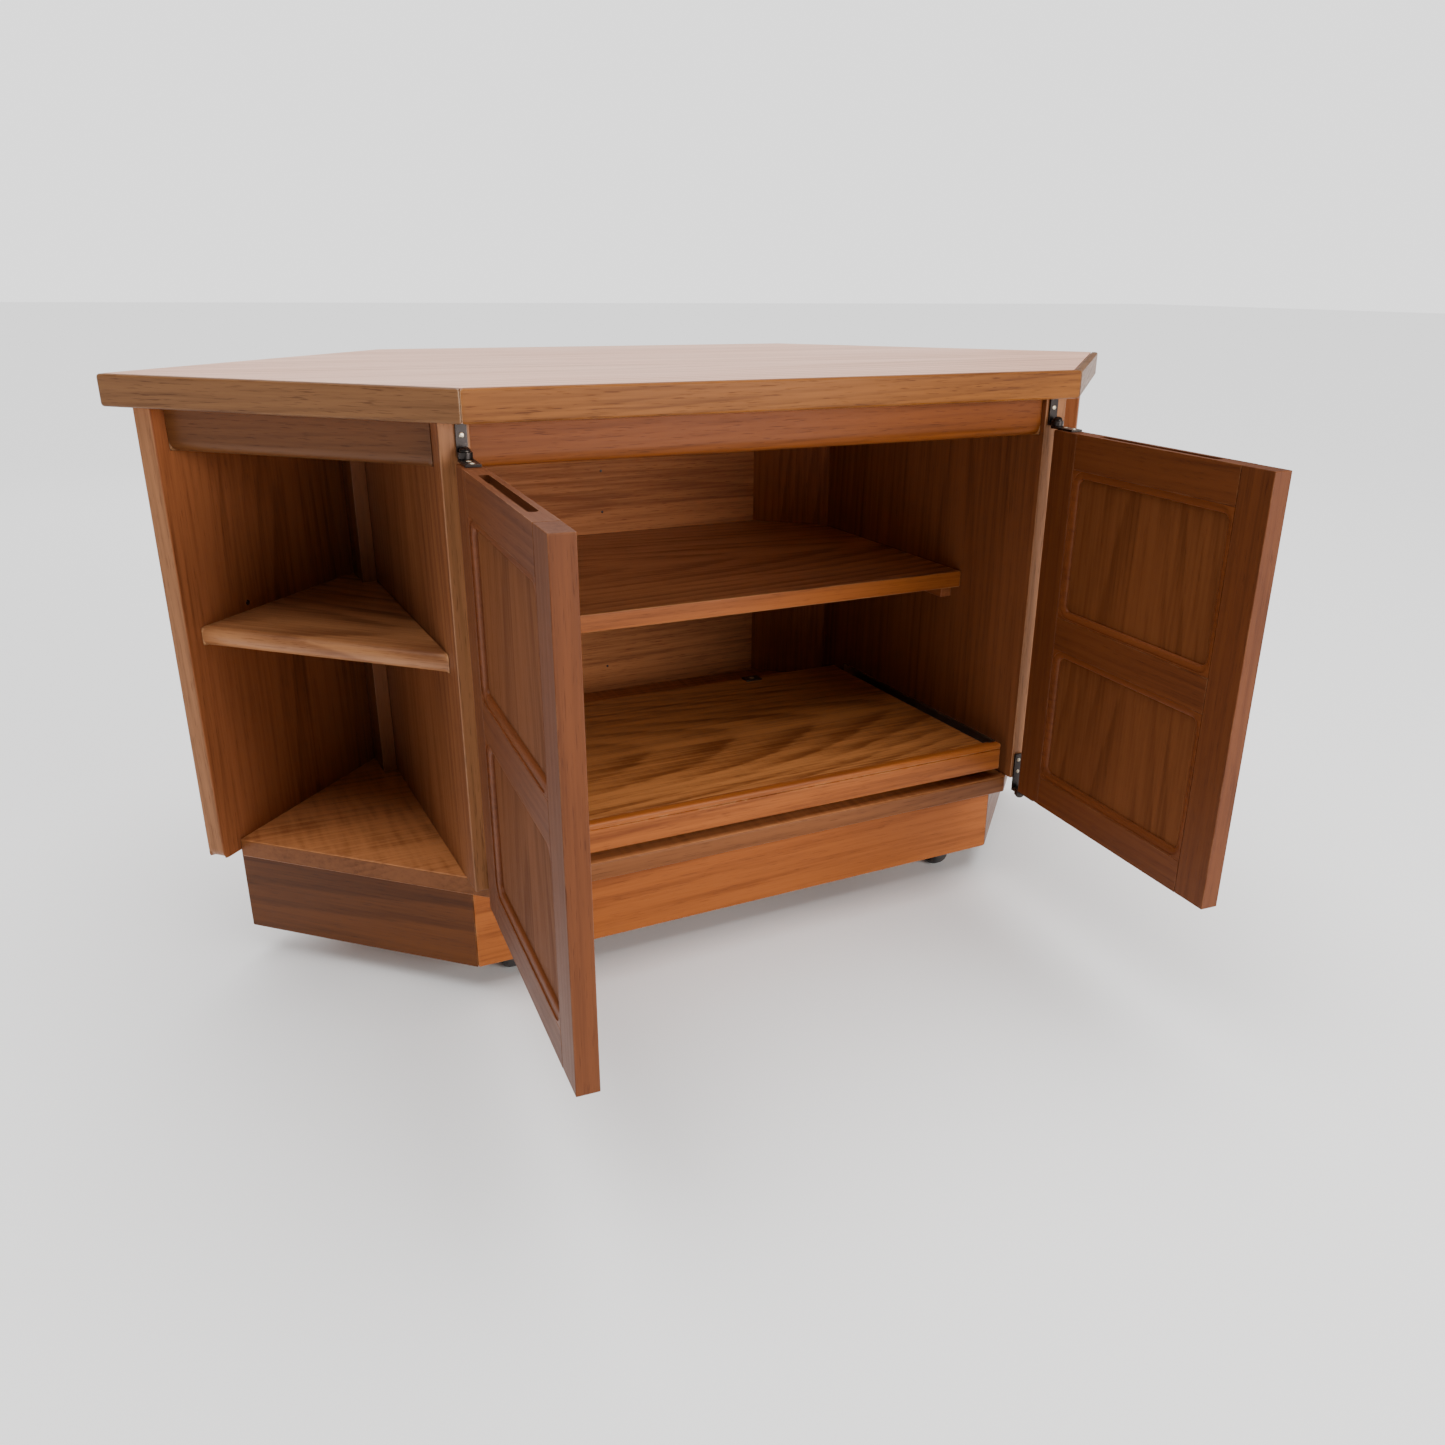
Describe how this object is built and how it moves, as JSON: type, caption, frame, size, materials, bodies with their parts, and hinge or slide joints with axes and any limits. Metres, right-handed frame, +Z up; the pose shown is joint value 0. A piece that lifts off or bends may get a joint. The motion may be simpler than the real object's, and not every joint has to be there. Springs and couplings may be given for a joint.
{
  "type": "tv cabinet with doors",
  "caption": "Low television cabinet with 45-degree wings, panelled doors on pivot hinges, a sliding tray, open corner bays and a plinth on casters.",
  "frame": {"origin": "on the floor, midway across the top and midway from the ends of the open doors to the back edge of the top", "axes": "+X to the right seen from the front, +Y to the back, +Z up"},
  "size_m": [1.072, 0.7908, 0.57],
  "materials": {
    "teak_top": "satin",
    "teak_lipping": "satin",
    "teak_carcass": "satin",
    "teak_shelf": "satin",
    "teak_door_frame": "satin",
    "teak_panel": "satin",
    "teak_plinth": "satin",
    "back_veneer": "matt",
    "dark_bronze": "semi-gloss",
    "steel": "satin",
    "wheel_plastic": "satin"
  },
  "bodies": {
    "cabinet": {"top_board": "teak_top", "top_lipping_front": "teak_lipping", "top_lipping_left": "teak_lipping", "top_lipping_right": "teak_lipping", "front_apron": "teak_carcass", "base_board": "teak_shelf", "back_panel": "back_veneer", "centre_shelf": "teak_shelf", "plinth_front": "teak_plinth", "plinth_back": "teak_plinth", "caster_rail_front": "back_veneer", "caster_rail_rear": "back_veneer", "upright_left": "teak_carcass", "side_panel_left": "teak_carcass", "corner_batten_left": "teak_carcass", "corner_apron_left": "teak_carcass", "corner_shelf_left": "teak_shelf", "shelf_cleat_left": "teak_carcass", "plinth_left": "teak_plinth", "hinge_arm_upper_left": "dark_bronze", "hinge_arm_lower_left": "dark_bronze", "tray_runner_left": "steel", "upright_right": "teak_carcass", "side_panel_right": "teak_carcass", "corner_batten_right": "teak_carcass", "corner_apron_right": "teak_carcass", "corner_shelf_right": "teak_shelf", "shelf_cleat_right": "teak_carcass", "plinth_right": "teak_plinth", "hinge_arm_upper_right": "dark_bronze", "hinge_arm_lower_right": "dark_bronze", "tray_runner_right": "steel"},
    "door_left": {"door_left_hinge_stile": "teak_door_frame", "door_left_free_stile": "teak_door_frame", "door_left_top_rail": "teak_door_frame", "door_left_middle_rail": "teak_door_frame", "door_left_bottom_rail": "teak_door_frame", "door_left_upper_panel": "teak_panel", "door_left_lower_panel": "teak_panel", "hinge_plate_upper_left": "dark_bronze", "hinge_plate_lower_left": "dark_bronze"},
    "door_right": {"door_right_hinge_stile": "teak_door_frame", "door_right_free_stile": "teak_door_frame", "door_right_top_rail": "teak_door_frame", "door_right_middle_rail": "teak_door_frame", "door_right_bottom_rail": "teak_door_frame", "door_right_upper_panel": "teak_panel", "door_right_lower_panel": "teak_panel", "hinge_plate_upper_right": "dark_bronze", "hinge_plate_lower_right": "dark_bronze"},
    "tray": {"tray_board": "teak_shelf", "tray_lip": "teak_carcass"},
    "caster_front_left": {"caster_fork_front_left": "steel"},
    "wheel_front_left": {"caster_wheel_front_left": "wheel_plastic"},
    "caster_front_right": {"caster_fork_front_right": "steel"},
    "wheel_front_right": {"caster_wheel_front_right": "wheel_plastic"},
    "caster_rear_left": {"caster_fork_rear_left": "steel"},
    "wheel_rear_left": {"caster_wheel_rear_left": "wheel_plastic"},
    "caster_rear_right": {"caster_fork_rear_right": "steel"},
    "wheel_rear_right": {"caster_wheel_rear_right": "wheel_plastic"}
  },
  "joints": [
    {"name": "door_left_hinge", "type": "hinge", "parent": "cabinet", "child": "door_left", "pos_m": [-0.2935, -0.10318, 0.322], "axis": [0, 0, -1], "range_deg": [-94.6, 8]},
    {"name": "door_right_hinge", "type": "hinge", "parent": "cabinet", "child": "door_right", "pos_m": [0.2935, -0.10318, 0.322], "axis": [0, 0, 1], "range_deg": [-85, 17.6]},
    {"name": "tray_slide", "type": "slide", "parent": "cabinet", "child": "tray", "axis": [0, -1, 0], "range_m": [0, 0.12]},
    {"name": "caster_front_left_swivel", "type": "hinge", "parent": "cabinet", "child": "caster_front_left", "pos_m": [-0.26, 0.01441, 0.05], "axis": [0, 0, 1], "continuous": true},
    {"name": "wheel_front_left_roll", "type": "hinge", "parent": "caster_front_left", "child": "wheel_front_left", "pos_m": [-0.26, 0.00041, 0.02], "axis": [1, 0, 0], "continuous": true},
    {"name": "caster_front_right_swivel", "type": "hinge", "parent": "cabinet", "child": "caster_front_right", "pos_m": [0.26, 0.01441, 0.05], "axis": [0, 0, 1], "continuous": true},
    {"name": "wheel_front_right_roll", "type": "hinge", "parent": "caster_front_right", "child": "wheel_front_right", "pos_m": [0.26, 0.00041, 0.02], "axis": [1, 0, 0], "continuous": true},
    {"name": "caster_rear_left_swivel", "type": "hinge", "parent": "cabinet", "child": "caster_rear_left", "pos_m": [-0.2, 0.27641, 0.05], "axis": [0, 0, 1], "continuous": true},
    {"name": "wheel_rear_left_roll", "type": "hinge", "parent": "caster_rear_left", "child": "wheel_rear_left", "pos_m": [-0.2, 0.26241, 0.02], "axis": [1, 0, 0], "continuous": true},
    {"name": "caster_rear_right_swivel", "type": "hinge", "parent": "cabinet", "child": "caster_rear_right", "pos_m": [0.2, 0.27641, 0.05], "axis": [0, 0, 1], "continuous": true},
    {"name": "wheel_rear_right_roll", "type": "hinge", "parent": "caster_rear_right", "child": "wheel_rear_right", "pos_m": [0.2, 0.26241, 0.02], "axis": [1, 0, 0], "continuous": true}
  ]
}
